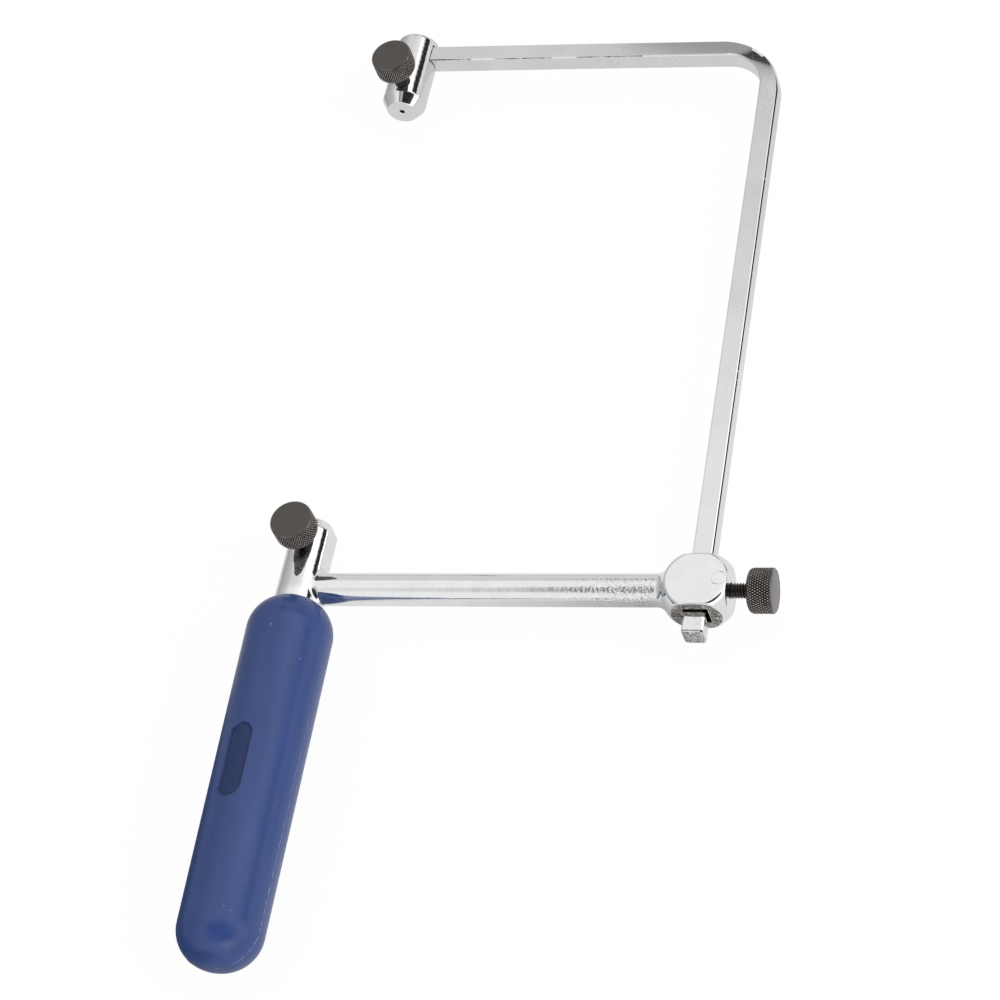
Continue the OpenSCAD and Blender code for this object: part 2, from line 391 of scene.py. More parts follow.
def bar_material():
    m, t, p = new_material("satin_nickel")
    v = coords(t)
    p.inputs["Metallic"].default_value = 1.0
    speck = noise(t, v, 1900.0, 3.0, 0.65)
    cloud = noise(t, v, 90.0, 3.0)
    tint = ramp(t, cloud, [(0.3, (0.83, 0.83, 0.825)), (0.7, (0.88, 0.88, 0.875))])
    # Grainy places and clean ones, and a few short scratches
    grainy = ramp(t, noise(t, v, 42.0, 2.0), [(0.40, 0.2), (0.58, 1.0)])
    marks = ramp(t, speck, [(0.34, (0.80, 0.80, 0.80)), (0.44, (1.0, 1.0, 1.0)), (0.58, (1.0, 1.0, 1.0)),
                            (0.70, (0.62, 0.62, 0.61))])
    dotted = mix_color(t, grainy, (1.0, 1.0, 1.0), marks)
    plate = mix_color(t, 1.0, tint, dotted, "MULTIPLY")
    lines = node(t, "ShaderNodeTexWave", bands_direction="DIAGONAL")
    lines.inputs["Scale"].default_value = 260.0
    lines.inputs["Distortion"].default_value = 5.0
    lines.inputs["Detail"].default_value = 2.0
    t.links.new(v, lines.inputs["Vector"])
    scratch = math_node(t, "MULTIPLY", ramp(t, lines.outputs["Fac"], [(0.965, 0.0), (0.99, 1.0)]),
                        ramp(t, noise(t, v, 75.0, 1.0), [(0.60, 0.0), (0.66, 1.0)]))
    t.links.new(mix_color(t, scratch, plate, (0.97, 0.97, 0.96)), p.inputs["Base Color"])
    rough = ramp(t, speck, [(0.35, 0.03), (0.6, 0.05), (0.75, 0.24)])
    t.links.new(math_node(t, "ADD", rough, math_node(t, "MULTIPLY", scratch, 0.4)), p.inputs["Roughness"])
    t.links.new(bump(t, speck, 0.05, 0.00005), p.inputs["Normal"])
    return m


def cut_end_material():
    m, t, p = new_material("sawn_bar_end")
    v = coords(t)
    p.inputs["Metallic"].default_value = 0.85
    grain = noise(t, v, 2400.0, 4.0, 0.7)
    tint = ramp(t, grain, [(0.40, (0.22, 0.22, 0.22)), (0.5, (0.52, 0.52, 0.52)), (0.62, (0.88, 0.88, 0.87))])
    t.links.new(tint, p.inputs["Base Color"])
    p.inputs["Roughness"].default_value = 0.45
    t.links.new(bump(t, grain, 0.5, 0.0002), p.inputs["Normal"])
    return m


def screw_material(name, dark, light, metal, rough_range):
    m, t, p = new_material(name)
    v = coords(t)
    p.inputs["Metallic"].default_value = metal
    cloud = noise(t, v, 500.0, 4.0, 0.6)
    t.links.new(ramp(t, cloud, [(0.3, dark), (0.72, light)]), p.inputs["Base Color"])
    rough = ramp(t, noise(t, v, 1800.0, 3.0), [(0.3, rough_range[0]), (0.7, rough_range[1])])
    t.links.new(rough, p.inputs["Roughness"])
    t.links.new(bump(t, noise(t, v, 2600.0, 3.0), 0.12, 0.00008), p.inputs["Normal"])
    p.inputs["Coat Weight"].default_value = 0.55
    p.inputs["Coat Roughness"].default_value = 0.3
    return m


def pad_material(name, dark, light, metal):
    m, t, p = new_material(name)
    v = coords(t)
    p.inputs["Metallic"].default_value = metal
    tint = ramp(t, noise(t, v, 900.0, 3.0), [(0.3, dark), (0.7, light)])
    t.links.new(tint, p.inputs["Base Color"])
    p.inputs["Roughness"].default_value = 0.4
    t.links.new(bump(t, noise(t, v, 2400.0), 0.1, 0.0001), p.inputs["Normal"])
    return m


def handle_material(name, low, high, scuffed, level, gloss=0.52):
    m, t, p = new_material(name)
    v = coords(t)
    # Soft lengthwise streaks and fine scuffs
    long_v = coords(t, (1.0, 0.12, 1.0))
    cloud = noise(t, long_v, 210.0, 3.0)
    tint = ramp(t, cloud, [(0.3, low), (0.7, high)])
    scuff = noise(t, long_v, 900.0, 4.0, 0.7)
    dull = ramp(t, scuff, [(0.60, 0.0), (0.74, level)])
    speck = ramp(t, noise(t, v, 1100.0, 1.0), [(0.80, 0.0), (0.83, 0.8)])
    worn = mix_color(t, dull, tint, scuffed)
    t.links.new(mix_color(t, speck, worn, (0.55, 0.60, 0.70)), p.inputs["Base Color"])
    grain = noise(t, v, 3000.0, 2.0)
    rough = ramp(t, noise(t, v, 260.0, 4.0), [(0.3, 0.26), (0.7, 0.34)])
    t.links.new(rough, p.inputs["Roughness"])
    p.inputs["Specular IOR Level"].default_value = gloss
    first = bump(t, grain, 0.04, 0.00005)
    t.links.new(bump(t, scuff, 0.015, 0.00005, first), p.inputs["Normal"])
    return m


CHROME = chrome_material()
BARE = raw_casting_material()
NICKEL = bar_material()
SAWN = cut_end_material()
# Painted shade: the walls of the square hole are painted near black, for the shade inside it
SLOT_SHADE = pad_material("slot_walls_painted_shade", (0.010, 0.009, 0.008), (0.030, 0.026, 0.023), 0.3)
# The chip's near-white colour is a painted highlight, for the white that its dented corner reflects
CHIP_HIGHLIGHT = pad_material("chip_painted_highlight", (0.90, 0.90, 0.89), (0.97, 0.97, 0.96), 0.2)
# Painted reflection: the broken dark line that the inner front edge of the top leg shows
INNER_EDGE_REFLECTION = pad_material("inner_edge_painted_reflection", (0.19, 0.18, 0.17), (0.80, 0.79, 0.77), 0.9)
DARK = screw_material("blackened_steel",
                      (0.058, 0.050, 0.046), (0.074, 0.062, 0.055), 0.4, (0.3, 0.42))
WORN = screw_material("worn_knurl_points",
                      (0.30, 0.255, 0.23), (0.85, 0.75, 0.69), 1.0, (0.2, 0.35))
# Painted shade: near black, far darker than the blackened steel, on the sides of the knurl points, under the knob
# and on the thread
KNURL_SHADE = screw_material("knurl_sides_and_underside_painted_shade",
                        (0.020, 0.016, 0.014), (0.042, 0.034, 0.029), 0.5, (0.35, 0.5))
RIM = screw_material("worn_rim",
                     (0.10, 0.085, 0.078), (0.30, 0.26, 0.24), 0.8, (0.25, 0.4))
STEEL = pad_material("pad_steel_look", (0.36, 0.36, 0.35), (0.52, 0.51, 0.50), 1.0)
BLUE = handle_material("blue_plastic",
                       (0.021, 0.053, 0.203), (0.030, 0.067, 0.235), (0.07, 0.11, 0.28), 0.35)
POCKET = handle_material("pocket_floor",
                         (0.013, 0.033, 0.121), (0.016, 0.039, 0.135), (0.035, 0.055, 0.14), 0.2, 0.32)
# Painted shade: the pocket's walls are a darker blue than its floor and the rest of the handle
POCKET_WALL_SHADE = handle_material("pocket_wall_painted_shade",
                       (0.010, 0.024, 0.120), (0.013, 0.028, 0.135), (0.02, 0.04, 0.15), 0.1, 0.36)
FLASH = handle_material("mould_line",
                        (0.045, 0.080, 0.24), (0.20, 0.26, 0.44), (0.60, 0.66, 0.78), 0.9)
FLASH_END = handle_material("mould_line_end",
                            (0.13, 0.18, 0.36), (0.34, 0.41, 0.58), (0.75, 0.80, 0.88), 0.9)


# Lower frame: post, arm and boss as one casting

def post_field(x, y, z):
    r = np.sqrt(x * x + z * z)
    cone = ((r - POST_R) * CONE_L + (y + CONE_L) * CONE_IN) / math.hypot(CONE_L, CONE_IN)
    return smax(smax(r - POST_R, cone, 0.25), y, 0.25)


def arm_field(x, y, z):
    return np.sqrt((y - ARM_Y) ** 2 + z * z) - ARM_R


BLADE_HOLE_L = 11.0


def clamp_cut(f, r, h, x, y, z, screw_y):
    """Takes the blade hole, at depth h from its mouth, and the screw hole out of a clamp."""
    blade = np.maximum(r - BLADE_R, h - BLADE_HOLE_L)
    hole = np.maximum(np.sqrt(x * x + (y - screw_y) ** 2) - HOLE_R, -BLADE_R - z)
    return smax(smax(f, -blade, 0.4), -hole, 0.25)


def post_side(x, y, z):
    c, s = math.cos(POST_LEAN), math.sin(POST_LEAN)
    px = (x - POST_SHIFT) * c - (y - ARM_Y) * s
    py = (x - POST_SHIFT) * s + (y - ARM_Y) * c + ARM_Y
    arm = np.maximum(arm_field(x, y, z), -x)
    f = smin(post_field(px, py, z), arm, np.clip(2.6 - 0.42 * np.abs(z), 0.5, 2.6))
    return clamp_cut(f, np.sqrt(px * px + z * z), -py, x, y, z, LOWER_SCREW_Y)


EJECTOR = (112.0, -19.0)
EJECTOR_R = 1.85
BOSS_FLAT = 7.9
BOSS_LOW = 7.4
# The square hole for the bar: half sides, and its middle seen from the bar's, across and in front
SLOT_HALF_X = 3.08
SLOT_HALF_Z = 3.1
SLOT_X = 0.2
SLOT_Z = 0.22


def boss_side(x, y, z):
    dx, dy = x - BAR_X, y - ARM_Y
    ball = np.sqrt(dx * dx + dy * dy + z * z) - BALL_R
    arm = np.maximum(arm_field(x, y, z), dx)
    f = smin(ball, arm, 1.7)
    # The front flat carries the shallow round mark of an ejector pin
    mark = np.sqrt((x - EJECTOR[0]) ** 2 + (y - EJECTOR[1]) ** 2) - EJECTOR_R
    press = 0.05 * np.exp(-(mark / 0.13) ** 2) + 0.012 * (mark < 0)
    f = smax(f, np.where(z > 0, z + press, -z) - BOSS_T / 2, 0.5)
    f = smax(f, np.abs(dy) - BOSS_LOW, 0.5)
    f = smax(f, dx - BOSS_FLAT, 0.22)
    square = np.maximum(np.abs(dx - SLOT_X) - SLOT_HALF_X, np.abs(z - SLOT_Z) - SLOT_HALF_Z)
    f = smax(f, -square, 0.16)
    lock = np.maximum(np.sqrt(dy * dy + z * z) - HOLE_R, -dx)
    return smax(f, -lock, 0.3)


# Where the plain middle of the arm starts and ends. It reaches a little into the meshes at its ends, and dips there
ARM_COLS = 96
ARM_STEPS = (13.8, 13.9, 30.0, 50.0, 70.0, 89.1, 89.2)
ARM_DIP = 0.004
POST_TILT = 0.075
# A face this near the middle of the square hole, across and in front, is one of its walls, and is painted near black
# as the shade inside the hole
WALL_REACH = 3.2

casting = Shell()
p, q, nrm = surface_net(post_side, (-6.9, -27.2, -6.5), (14.0, 0.5, 6.5), 0.15)
# Polishing has left the front of the post below its screw facing a little towards its mouth
worn = np.clip(nrm[:, 2], 0, 1) * np.clip((5.0 - p[:, 0]) / 2.0, 0, 1)
worn *= np.clip((p[:, 1] + 24.0) / 3.0, 0, 1) * np.clip((-9.0 - p[:, 1]) / 3.0, 0, 1)
nrm[:, 1] += POST_TILT * worn
nrm /= np.linalg.norm(nrm, axis=1)[:, None]
casting.add(p, q, nrm)
p, q, nrm = surface_net(boss_side, (89.0, -27.3, -6.6), (115.2, -11.3, 6.6), 0.115)
centre = p[q].mean(1)
facing = nrm[q].mean(1)
raw = (np.abs(facing[:, 1]) > 0.97) & (np.abs(centre[:, 1] - ARM_Y) > BOSS_LOW - 0.06)
# Faces on the walls of the square hole take the near-black painted shade
in_hole = ((np.abs(centre[:, 0] - BAR_X - SLOT_X) < WALL_REACH) & (np.abs(centre[:, 2] - SLOT_Z) < WALL_REACH)
           & (np.abs(centre[:, 1] - ARM_Y) < BOSS_LOW - 0.02))
casting.add(p, q, nrm, slot=np.where(in_hole, 2, raw.astype(int)))
# The plain middle of the arm
around = np.linspace(0, 2 * np.pi, ARM_COLS, endpoint=False)
ring = np.stack([np.zeros_like(around), np.cos(around), np.sin(around)], 1)
rows = []
for x in ARM_STEPS:
    lower = ARM_DIP if x in (ARM_STEPS[0], ARM_STEPS[-1]) else 0.0
    rows.append(ring * (ARM_R - lower) + np.array([x, ARM_Y, 0.0]))
casting.add(np.vstack(rows), tube_rows(len(rows), ARM_COLS), np.vstack([ring] * len(rows)))
casting.build("lower_frame_casting", "frame", "chromed_casting", [CHROME, BARE, SLOT_SHADE], "lower_frame")


# Upper clamp head

def head_field(x, y, z):
    c, s = math.cos(SLOPE), math.sin(SLOPE)
    px = (x - HEAD_SHIFT) * c - (y - UPPER_SCREW_Y) * s
    h = (x - HEAD_SHIFT) * s + (y - UPPER_SCREW_Y) * c + SCREW_RISE
    r = np.sqrt(px * px + z * z)
    cone = ((r - HEAD_R) * CONE_L + (CONE_L - h) * CONE_IN) / math.hypot(CONE_L, CONE_IN)
    dome_r = (HEAD_R ** 2 + DOME_H ** 2) / (2 * DOME_H)
    dome = np.sqrt(r * r + (h - HEAD_L + dome_r) ** 2) - dome_r
    f = smax(r - HEAD_R, cone, 0.2)
    f = smax(f, -h, 0.2)
    f = smax(f, np.where(h > HEAD_L - dome_r, dome, -dome_r), 0.5)
    f = clamp_cut(f, r, h, x, y, z, UPPER_SCREW_Y)
    half = BAR_W / 2 + 0.2
    socket = np.maximum(np.maximum(np.abs(h - SOCKET_RISE) - half, np.abs(z) - half), -2.0 - px)
    return smax(f, -socket, 0.15)


head = Shell()
p, q, nrm = surface_net(head_field, (-7.2, GAP - 0.8, -6.6), (7.4, GAP + HEAD_L + 0.6, 6.6), 0.14)
head.add(p, q, nrm)
head.build("upper_head_turned", "bar", "chromed_head", [CHROME], "upper_clamp_head")


# Back bar: a square bar with chamfered corners, drawn along its two edges

LEG = np.array([math.cos(SLOPE), -math.sin(SLOPE)])
LEG_OUT = np.array([math.sin(SLOPE), math.cos(SLOPE)])
SOCKET = np.array([0.0, UPPER_SCREW_Y]) + (SOCKET_RISE - SCREW_RISE) * LEG_OUT
TOP_Y = SOCKET[1] - (BAR_X - SOCKET[0]) * math.tan(SLOPE)


def bend_centre(reach):
    return np.array([BAR_X - reach, TOP_Y - reach * (1 - math.sin(SLOPE)) / math.cos(SLOPE)])


def bar_sections():
    """Inner edge, outer edge, outward direction and keystone share of each section along the bar."""
    half = BAR_W / 2
    turn = math.pi / 2 - SLOPE
    ci, co = bend_centre(BEND_IN_R + half), bend_centre(BEND_OUT_R - half)
    rows = []
    for y in np.linspace(BAR_END_Y, ci[1] - 12.0, 24):
        rows.append(((BAR_X - half, y), (BAR_X + half, y), (1.0, 0.0), 0.0))
    shift = co[1] - ci[1]
    for s in np.linspace(0.1, 1.0, 12):
        rows.append(((BAR_X - half, ci[1] - 12.0 * (1 - s)), (BAR_X + half, ci[1] - 12.0 * (1 - s) + shift * s),
                     (1.0, 0.0), s * s))
    for a in np.linspace(0, turn, 49)[1:]:
        d = np.array([math.cos(a), math.sin(a)])
        rows.append((tuple(ci + BEND_IN_R * d), tuple(co + BEND_OUT_R * d), tuple(d), 1.0))
    i0, o0 = np.array(rows[-1][0]), np.array(rows[-1][1])
    tip = SOCKET - 1.97 * LEG
    i1, o1 = tip - half * LEG_OUT, tip + half * LEG_OUT
    for s in np.linspace(0, 1, 40)[1:]:
        rows.append((tuple(i0 + (i1 - i0) * s), tuple(o0 + (o1 - o0) * s), tuple(LEG_OUT),
                     max(0.0, 1 - s / 0.46) ** 1.1))
    return [np.array(v) for v in zip(*rows)]


# Corners: share of the way round, and share of the quarter turn that the normal has made there. Sizes in millimetres
EVEN_CORNER = ((0.0, 0.0), (0.08, 0.32), (0.2, 0.45), (0.5, 0.5), (0.8, 0.55), (0.92, 0.68), (1.0, 1.0))
FRONT_CORNER = ((0.0, 0.0), (0.06, 0.30), (0.11, 0.50), (0.34, 0.54),
                (0.58, 0.59), (0.66, 0.70), (0.88, 0.76), (1.0, 1.0))
EVEN_SIZE = 0.42
FRONT_SIZE = 0.6
CHIP_REACH = 1.35
FRONT_COLS = len(FRONT_CORNER)
INNER_EDGE = slice(FRONT_COLS + 3, FRONT_COLS + 5)
TOP_LEG_ROWS = 30


def square_profile():
    """Points and normals round a square of half side 1. The first corner is the outer front one."""
    half = BAR_W / 2
    pts, nrms = [], []
    for quarter in range(4):
        corner = (EVEN_SIZE if quarter else FRONT_SIZE) / half
        base = quarter * math.pi / 2
        cx = (1 - corner) * (1 if quarter in (0, 3) else -1)
        cy = (1 - corner) * (1 if quarter in (0, 1) else -1)
        # A corner is nearly a flat chamfer, softened at its two edges
        for share, turn in (EVEN_CORNER if quarter else FRONT_CORNER):
            a0, a1 = base, base + math.pi / 2
            arc = base + share * math.pi / 2
            chord = (math.cos(a0) * (1 - share) + math.cos(a1) * share,
                     math.sin(a0) * (1 - share) + math.sin(a1) * share)
            mix = (0.7 * chord[0] + 0.3 * math.cos(arc), 0.7 * chord[1] + 0.3 * math.sin(arc))
            pts.append((cx + corner * mix[0], cy + corner * mix[1]))
            a = base + turn * math.pi / 2
            nrms.append((math.cos(a), math.sin(a)))
        if quarter == 0:
            # One more point on the front face, for the edge of the chip
            pts.append((1 - CHIP_REACH / half, 1.0))
            nrms.append((0.0, 1.0))
    return np.array(pts), np.array(nrms)


CHIP_AT = (math.radians(43), math.radians(57))
CHIP_BITE = 0.55
END_SPREAD = 1.05
# Height above the bar's end and inset of each row of its rounded end
END_ROWS = ((0.0, 1.05), (0.1, 0.74), (0.3, 0.42), (0.55, 0.18), (0.9, 0.05), (1.3, 0.0))
END_L = 1.3
END_CORNER_X, END_CORNER_Z = 0.45, 0.89
BEND_TILT = 0.06


def back_bar():
    shell = Shell()
    inner, outer, out_dir, stone = bar_sections()
    prof, prof_n = square_profile()
    plain = prof.copy()
    cols = len(prof)
    rows, norms = [], []
    half = BAR_W / 2
    # The sawn end is a little spread and its edge is crumbled
    round_it = np.arctan2(prof[:, 1], prof[:, 0])
    crumb = 0.16 * np.sin(7 * round_it + 0.4) * np.sin(3 * round_it + 1.0)
    for rise, inset in END_ROWS:
        scale = (half * END_SPREAD - inset) / half
        rough_edge = crumb * (1.0 if 0.05 < rise < 0.8 else 0.0)
        # The side that meets the lock pad isn't spread
        pts = np.stack([BAR_X + np.minimum(prof[:, 0] * half * scale, half),
                        BAR_END_Y + rise + rough_edge,
                        prof[:, 1] * half * scale], 1)
        lean = max(0.0, 1 - rise / END_L)
        nn = np.stack([prof_n[:, 0] * (1 - lean * 0.8), np.full(cols, -lean), prof_n[:, 1] * (1 - lean * 0.8)], 1)
        rows.append(pts)
        nn[2:FRONT_COLS - 1] = (END_CORNER_X, -lean, END_CORNER_Z)
        norms.append(nn / np.linalg.norm(nn, axis=1)[:, None])
    # The bend thins the bar along its outer edge and thickens it along its inner edge
    for k in range(1, len(inner)):
        mid = (inner[k] + outer[k]) / 2
        arm = (outer[k] - inner[k]) / 2
        tilt = BEND_TILT * stone[k]
        # The chip takes more off the outer front corner
        bite = (math.atan2(out_dir[k][1], out_dir[k][0]) - CHIP_AT[0]) / (CHIP_AT[1] - CHIP_AT[0])
        bite = 1 + CHIP_BITE * math.sin(math.pi * min(max(bite, 0.0), 1.0))
        prof = plain.copy()
        prof[:FRONT_COLS] = 1 - (1 - plain[:FRONT_COLS]) * bite
        deep = prof[:, 1] * half * (1 - tilt * prof[:, 0])
        pts = np.stack([mid[0] + prof[:, 0] * arm[0], mid[1] + prof[:, 0] * arm[1], deep], 1)
        # The flat of the outer front corner turns a little towards the front on the way up
        turned = prof_n.copy()
        for j in range(2, 5):
            a = (FRONT_CORNER[j][1] + 0.056 * min(max(mid[1] / 140.0, -0.2), 1.0)) * math.pi / 2
            turned[j] = (math.cos(a), math.sin(a))
        side = turned[:, 0] + tilt * np.abs(turned[:, 1]) * (1 + 0.25 * np.sign(prof[:, 0]))
        nn = np.stack([side * out_dir[k][0], side * out_dir[k][1], turned[:, 1]], 1)
        if k == 1:
            nn[2:FRONT_COLS - 1] = (END_CORNER_X, 0.0, END_CORNER_Z)
        rows.append(pts)
        norms.append(nn / np.linalg.norm(nn, axis=1)[:, None])
    # In this order of rows and columns the outside is reached by turning the quads round
    faces = [f[::-1] for f in tube_rows(len(rows), cols)]
    slots = np.zeros((len(rows) - 1, cols), int)
    slots[:3] = 1
    # A chip on the outer front corner of the bend, painted near white as a painted highlight
    turn_at = np.arctan2(out_dir[1:, 1], out_dir[1:, 0])
    chip = np.where((turn_at > CHIP_AT[0]) & (turn_at < CHIP_AT[1]))[0] + len(END_ROWS) - 1
    slots[chip[:, None], np.arange(FRONT_COLS - 3, FRONT_COLS)[None]] = 2
    # A painted reflection: a broken dark line along the inner front edge of the top leg, darker and rougher in
    # places
    for k in range(TOP_LEG_ROWS):
        if math.sin(0.9 * k) * math.sin(0.37 * k + 1.0) > -0.3:
            slots[len(rows) - 2 - k, INNER_EDGE] = 3
    slots = slots.ravel()
    shell.add(np.vstack(rows), faces, np.vstack(norms), slot=slots)
    cap = rows[0]
    middle = cap.mean(0)[None]
    shell.add(np.vstack([cap, middle]), [(k, (k + 1) % cols, cols) for k in range(cols)],
              np.tile([0.0, -1.0, 0.0], (cols + 1, 1)), slot=1)
    return shell


back_bar().build("back_bar_bent", "bar", "plated_bar", [NICKEL, SAWN, CHIP_HIGHLIGHT, INNER_EDGE_REFLECTION], "back_bar")


# Thumbscrews

def place(points, origin, axis):
    """Turns points whose own axis is Z so that it lies along axis, and moves them to origin."""
    turn = np.array(Vector((0, 0, 1)).rotation_difference(Vector(axis)).to_matrix())
    return points @ turn.T + np.asarray(origin)


def knob_path(s):
    """Radius, height and outward direction at distance s along the side of the knob, from its base."""
    arc = SHOULDER * math.pi / 2
    if s < arc:
        a = s / SHOULDER
        return (KNOB_R - SHOULDER + SHOULDER * math.sin(a), SHOULDER - SHOULDER * math.cos(a),
                math.sin(a), -math.cos(a))
    return KNOB_R, SHOULDER + (s - arc), 1.0, 0.0


KNURL_TEETH = 52
KNURL_ROWS = 5
KNURL_DEPTH = 0.42
KNURL_BLUNT = 0.42
THREAD_DEPTH = 0.42


def thumbscrew(name, node_name, body, origin, axis, thread_l, phase):
    shell = Shell()
    arc = SHOULDER * math.pi / 2
    start = 0.45 * arc
    total = arc + KNOB_L - SHOULDER - BEVEL
    cell = (total - start) / KNURL_ROWS

    def dent(s):
        return KNURL_DEPTH * min(1.0, (s - start) / (0.9 * arc) + 0.25)

    def at(theta, s, down):
        r, h, dr, dh = knob_path(s)
        r, h = r - dr * down, h - dh * down
        return (r * math.cos(theta), r * math.sin(theta), h)

    # Diamond knurl: blunt four-sided points between two sets of crossing grooves. The sides of the points are
    # painted near black as shade in the grooves, and their blunt tops are worn bright
    pts, faces, slots = [], [], []
    dt = 2 * math.pi / KNURL_TEETH
    for row in range(-1, 2 * KNURL_ROWS + 1):
        s_mid = start + row * cell / 2 + cell / 2
        for k in range(KNURL_TEETH):
            t_mid = (k + (0.5 if row % 2 else 0.0)) * dt + phase
            corners = []
            for du, dv in ((-0.5, 0), (0, -0.5), (0.5, 0), (0, 0.5)):
                s = min(max(s_mid + dv * cell, start), total)
                corners.append((t_mid + du * dt, s))
            tops = []
            for du, dv in ((-0.5, 0), (0, -0.5), (0.5, 0), (0, 0.5)):
                s = min(max(s_mid + dv * cell * KNURL_BLUNT, start), total)
                tops.append((t_mid + du * dt * KNURL_BLUNT, s))
            if corners[3][1] - corners[1][1] < 1e-6:
                continue
            base = len(pts)
            pts += [at(t, s, dent(s)) for t, s in corners]
            pts += [at(t, s, 0.0) for t, s in tops]
            for e in range(4):
                n = (e + 1) % 4
                faces.append((base + e, base + n, base + 4 + n, base + 4 + e))
            faces.append((base + 4, base + 5, base + 6, base + 7))
            slots += [2, 2, 2, 2, 1]
    shell.add(place(np.array(pts), origin, axis), faces, slot=slots, flat=True)

    # Base, bevel and face as turned strips
    cols = 128
    th = np.linspace(0, 2 * np.pi, cols, endpoint=False)

    def strip(profile, normal, slot=0):
        rws, nms = [], []
        for (r, h), (nr, nh) in zip(profile, normal):
            rws.append(np.stack([r * np.cos(th), r * np.sin(th), np.full(cols, h)], 1))
            nms.append(np.stack([nr * np.cos(th), nr * np.sin(th), np.full(cols, nh)], 1))
        pl = place(np.vstack(rws), origin, axis)
        pn = place(np.vstack(nms), np.zeros(3), axis)
        shell.add(pl, tube_rows(len(rws), cols), pn, slot=slot)

    prof, nor = [], []
    for a in np.linspace(0, 0.52 * math.pi / 2, 8):
        prof.append((KNOB_R - SHOULDER + SHOULDER * math.sin(a) - 0.05 * a,
                     SHOULDER - SHOULDER * math.cos(a) + 0.05 * a))
        nor.append((math.sin(a), -math.cos(a)))
    # The underside and the shoulder are painted near black as shade
    strip([(THREAD_R - 0.3, 0.0), (KNOB_R - SHOULDER, 0.0)], [(0, -1), (0, -1)], 2)
    strip(prof, nor, 2)
    c = math.sqrt(0.5)
    low_r = KNOB_R - 0.14
    strip([(low_r, KNOB_L - BEVEL - 0.10), (low_r, KNOB_L - BEVEL + 0.14)], [(1, 0), (1, 0)])
    strip([(low_r, KNOB_L - BEVEL + 0.14), (KNOB_R - BEVEL, KNOB_L)], [(c, c), (c, c)], 3)
    strip([(KNOB_R - BEVEL, KNOB_L), (KNOB_R - BEVEL - 0.12, KNOB_L), (KNOB_R - BEVEL - 0.2, KNOB_L - 0.03),
           (2.0, KNOB_L - 0.04), (0.02, KNOB_L - 0.04)],
          [(0, 1), (0, 1), (0.06, 1), (0.02, 1), (0, 1)])

    # Thread: a helical ridge on a core, with a plain point. Ridge and core are painted near black as shade under the
    # knob
    turns = 64
    fine = np.linspace(0, 2 * np.pi, turns, endpoint=False)
    hs = np.arange(0.0, thread_l + 1e-9, PITCH / 10)
    rws = []
    for h in hs:
        u = ((h / PITCH) + fine / (2 * np.pi)) % 1.0
        ridge = np.clip(1.25 - np.abs(u - 0.5) * 3.1, 0.0, 1.0)
        fade = min(1.0, max(0.0, (thread_l - h) / 0.45)) * min(1.0, h / 0.35 + 0.05)
        r = THREAD_R - 0.03 - THREAD_DEPTH * (1 - ridge * fade)
        rws.append(np.stack([r * np.cos(fine), r * np.sin(fine), np.full(turns, -h)], 1))
    faces = [f[::-1] for f in tube_rows(len(rws), turns)]
    shell.add(place(np.vstack(rws), origin, axis), faces, slot=2)
    tip = rws[-1]
    shell.add(place(np.vstack([tip, tip.mean(0)[None]]), origin, axis),
              [((k + 1) % turns, k, turns) for k in range(turns)], flat=True)
    return shell.build(name, body, "dark_screw", [DARK, WORN, KNURL_SHADE, RIM], node_name)


thumbscrew("lower_thumbscrew", "lower_blade_screw", "lower_screw",
           (0, LOWER_SCREW_Y, LOWER_KNOB_Z), (0, 0, 1), BLADE_SCREW_L, 0.0)
thumbscrew("upper_thumbscrew", "upper_blade_screw", "upper_screw",
           (0, UPPER_SCREW_Y, UPPER_KNOB_Z), (0, 0, 1), BLADE_SCREW_L, 0.03)
thumbscrew("lock_thumbscrew", "frame_lock_screw", "lock_screw",
           (LOCK_KNOB_X, ARM_Y, 0), (1, 0, 0), LOCK_SCREW_L, 0.02)

for pad in ("lower_blade_pad", "upper_blade_pad", "frame_lock_pad"):
    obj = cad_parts[pad]
    obj.data.materials.clear()
    obj.data.materials.append(STEEL)


# Handle

HANDLE_MOUTH_R = 5.7
POCKET_EDGE_W = 0.36
LIP_RISE = 0.07
FLASH_RISE = 0.09
FLASH_W = 0.13
# The mould line is bright below the first height and brighter below the second
FLASH_FROM_Y = -58.0
FLASH_END_Y = -104.0
# Spacing of the columns of points along the pocket's side and across the mould line, at the radius MESH_R
MESH_R = 11.1
POCKET_HALF_W = 4.4
POCKET_GRID = 0.12
FLASH_GRID = 0.09


